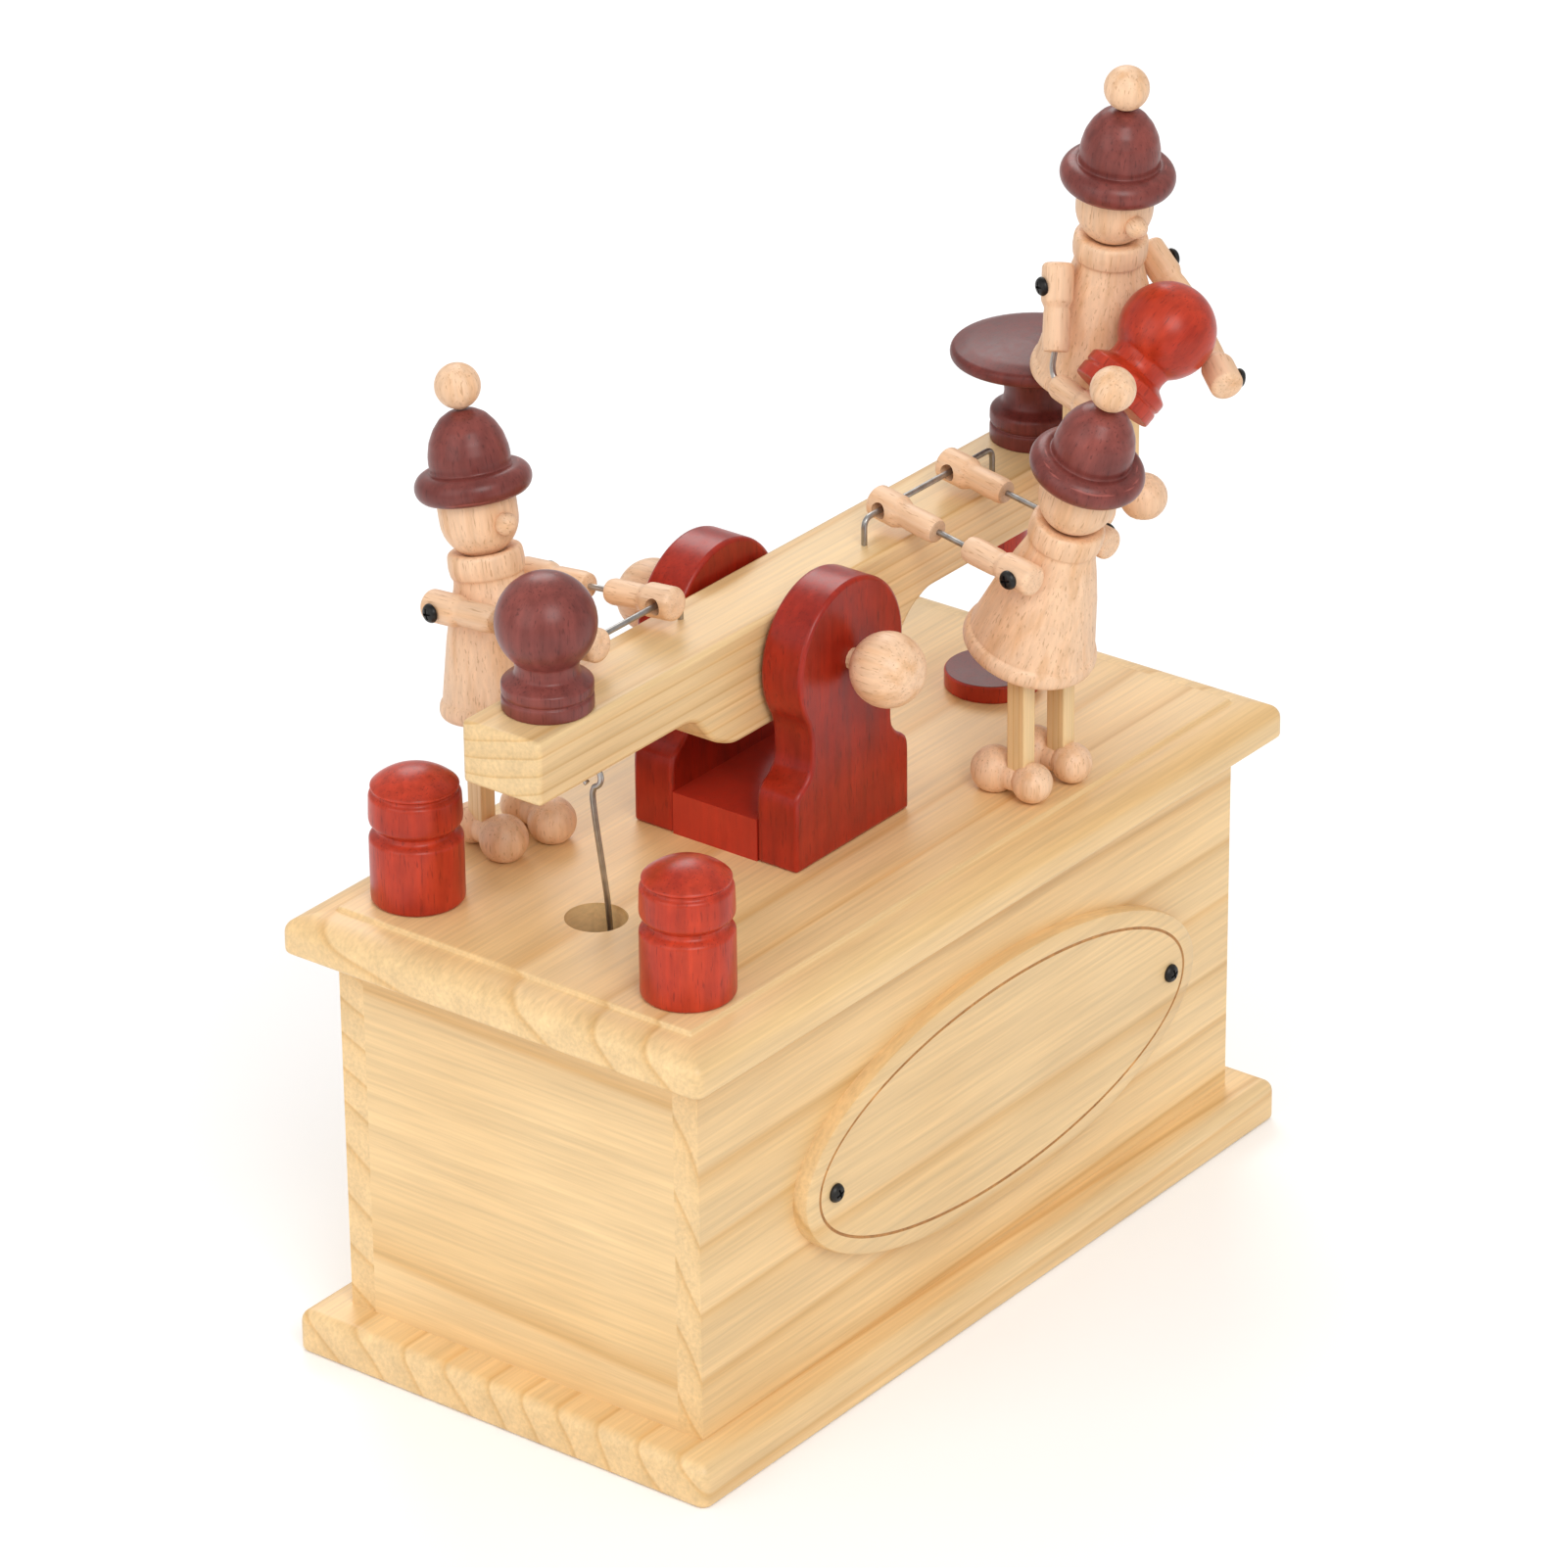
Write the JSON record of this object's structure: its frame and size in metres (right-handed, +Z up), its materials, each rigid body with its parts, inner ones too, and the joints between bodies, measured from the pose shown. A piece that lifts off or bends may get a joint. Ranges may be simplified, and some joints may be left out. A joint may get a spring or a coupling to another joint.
{
  "type": "wooden musical automaton",
  "caption": "Wooden box toy with a rocking telegraph-key beam on a red cradle, worked by turned wooden figures and a clockwork movement inside.",
  "frame": {"origin": "middle of the base board's underside", "axes": "+X along the box from the ball knob's end to the seated figure's end, -Y towards the plaque, +Z up"},
  "size_m": [0.259, 0.1589, 0.3148],
  "materials": {
    "pine": "satin clear lacquer",
    "beech": "smooth, turned",
    "red_stained_wood": "satin stain",
    "brown_stained_wood": "satin stain",
    "plum_stained_wood": "satin stain",
    "steel": "bare wire",
    "black_steel": "blackened",
    "brass": "satin"
  },
  "bodies": {
    "box": {"anvil_disc": "plum_stained_wood", "axle": "beech", "axle_ball_back": "beech", "axle_ball_front": "beech", "back_panel": "pine", "base_board": "pine", "binding_post_back": "red_stained_wood", "binding_post_front": "red_stained_wood", "comb": "steel", "cradle_cheek_back": "red_stained_wood", "cradle_cheek_front": "red_stained_wood", "cradle_floor": "red_stained_wood", "front_panel": "pine", "left_panel": "pine", "left_worker_legs": "beech", "movement_bedplate": "brass", "plaque": "pine", "plaque_screw_left": "black_steel", "plaque_screw_right": "black_steel", "right_panel": "pine", "right_worker_legs": "beech", "top_board": "pine"},
    "beam_assembly": {"beam": "pine", "ball_knob": "brown_stained_wood", "mushroom_knob": "plum_stained_wood", "striker": "red_stained_wood", "handle_wire_left": "steel", "handle_wire_right": "steel", "screw_eye": "steel", "sitter_torso": "beech", "sitter_head": "beech", "sitter_hat": "brown_stained_wood", "sitter_pompon": "beech", "sitter_legs": "beech"},
    "left_worker_body": {"left_worker_torso": "beech", "left_worker_head": "beech", "left_worker_hat": "brown_stained_wood", "left_worker_pompon": "beech"},
    "left_worker_right_limb": {"left_worker_right_arm": "beech", "left_worker_right_hand": "beech"},
    "left_worker_left_limb": {"left_worker_left_arm": "beech", "left_worker_left_hand": "beech"},
    "right_worker_body": {"right_worker_torso": "beech", "right_worker_head": "beech", "right_worker_hat": "brown_stained_wood", "right_worker_pompon": "beech"},
    "right_worker_right_limb": {"right_worker_right_arm": "beech", "right_worker_right_hand": "beech"},
    "right_worker_left_limb": {"right_worker_left_arm": "beech", "right_worker_left_hand": "beech"},
    "mallet_arms": {"sitter_right_arm": "beech", "sitter_left_arm": "beech", "mallet": "red_stained_wood"},
    "pull_wire": {"pull_wire": "steel"},
    "spring_drive": {"spring_barrel": "steel", "crank_disc": "beech"},
    "music_cylinder": {"music_cylinder": "brass"},
    "governor": {"governor": "brass"},
    "winding_key": {"winding_key": "brass"}
  },
  "joints": [
    {"name": "beam_rock", "type": "hinge", "parent": "box", "child": "beam_assembly", "pos_m": [-0.0105, 0, 0.1825], "axis": [0, 1, 0], "range_deg": [-4, 4]},
    {"name": "left_worker_sway", "type": "hinge", "parent": "box", "child": "left_worker_body", "pos_m": [-0.062, 0.0475, 0.1825], "axis": [0.9781, -0.2079, 0], "range_deg": [-3, 3]},
    {"name": "left_worker_right_shoulder", "type": "hinge", "parent": "left_worker_body", "child": "left_worker_right_limb", "pos_m": [-0.07613, 0.05412, 0.19913], "axis": [0.9781, -0.2079, 0], "range_deg": [-9, 9]},
    {"name": "left_worker_left_shoulder", "type": "hinge", "parent": "left_worker_body", "child": "left_worker_left_limb", "pos_m": [-0.0464, 0.0478, 0.19913], "axis": [0.9781, -0.2079, 0], "range_deg": [-9, 9]},
    {"name": "right_worker_sway", "type": "hinge", "parent": "box", "child": "right_worker_body", "pos_m": [0.044, -0.0475, 0.1825], "axis": [0.9962, -0.0872, 0], "range_deg": [-3, 3]},
    {"name": "right_worker_right_shoulder", "type": "hinge", "parent": "right_worker_body", "child": "right_worker_right_limb", "pos_m": [0.05866, -0.05434, 0.19857], "axis": [0.9962, -0.0872, 0], "range_deg": [-9, 9]},
    {"name": "right_worker_left_shoulder", "type": "hinge", "parent": "right_worker_body", "child": "right_worker_left_limb", "pos_m": [0.02838, -0.05169, 0.19857], "axis": [0.9962, -0.0872, 0], "range_deg": [-9, 9]},
    {"name": "mallet_swing", "type": "hinge", "parent": "beam_assembly", "child": "mallet_arms", "pos_m": [0.09692, -0.03043, 0.25479], "axis": [-0.9135, 0.4067, 0], "range_deg": [0, 28]},
    {"name": "pull_wire_pivot", "type": "hinge", "parent": "beam_assembly", "child": "pull_wire", "pos_m": [-0.0845, 0, 0.1705], "axis": [0, 1, 0], "range_deg": [-5, 5]},
    {"name": "crank_spin", "type": "hinge", "parent": "box", "child": "spring_drive", "pos_m": [-0.0708, 0, 0.08], "axis": [0, 1, 0], "continuous": true},
    {"name": "cylinder_spin", "type": "hinge", "parent": "box", "child": "music_cylinder", "pos_m": [-0.0708, 0.0407, 0.0582], "axis": [1, 0, 0], "continuous": true},
    {"name": "governor_spin", "type": "hinge", "parent": "box", "child": "governor", "pos_m": [-0.0422, 0.0407, 0.0582], "axis": [0, 0, 1], "continuous": true},
    {"name": "key_turn", "type": "hinge", "parent": "box", "child": "winding_key", "pos_m": [-0.0708, 0.055, 0.08], "axis": [0, 1, 0], "continuous": true}
  ],
  "couplings": [
    {"joint": "left_worker_sway", "follows": "beam_rock", "ratio": 0.3292},
    {"joint": "left_worker_right_shoulder", "follows": "beam_rock", "ratio": -1.7082},
    {"joint": "left_worker_left_shoulder", "follows": "beam_rock", "ratio": -1.1975},
    {"joint": "right_worker_sway", "follows": "beam_rock", "ratio": 0.4002},
    {"joint": "right_worker_right_shoulder", "follows": "beam_rock", "ratio": -1.8684},
    {"joint": "right_worker_left_shoulder", "follows": "beam_rock", "ratio": -1.3034},
    {"joint": "pull_wire_pivot", "follows": "beam_rock", "ratio": -1},
    {"joint": "cylinder_spin", "follows": "crank_spin", "ratio": 1},
    {"joint": "governor_spin", "follows": "crank_spin", "ratio": 8}
  ]
}
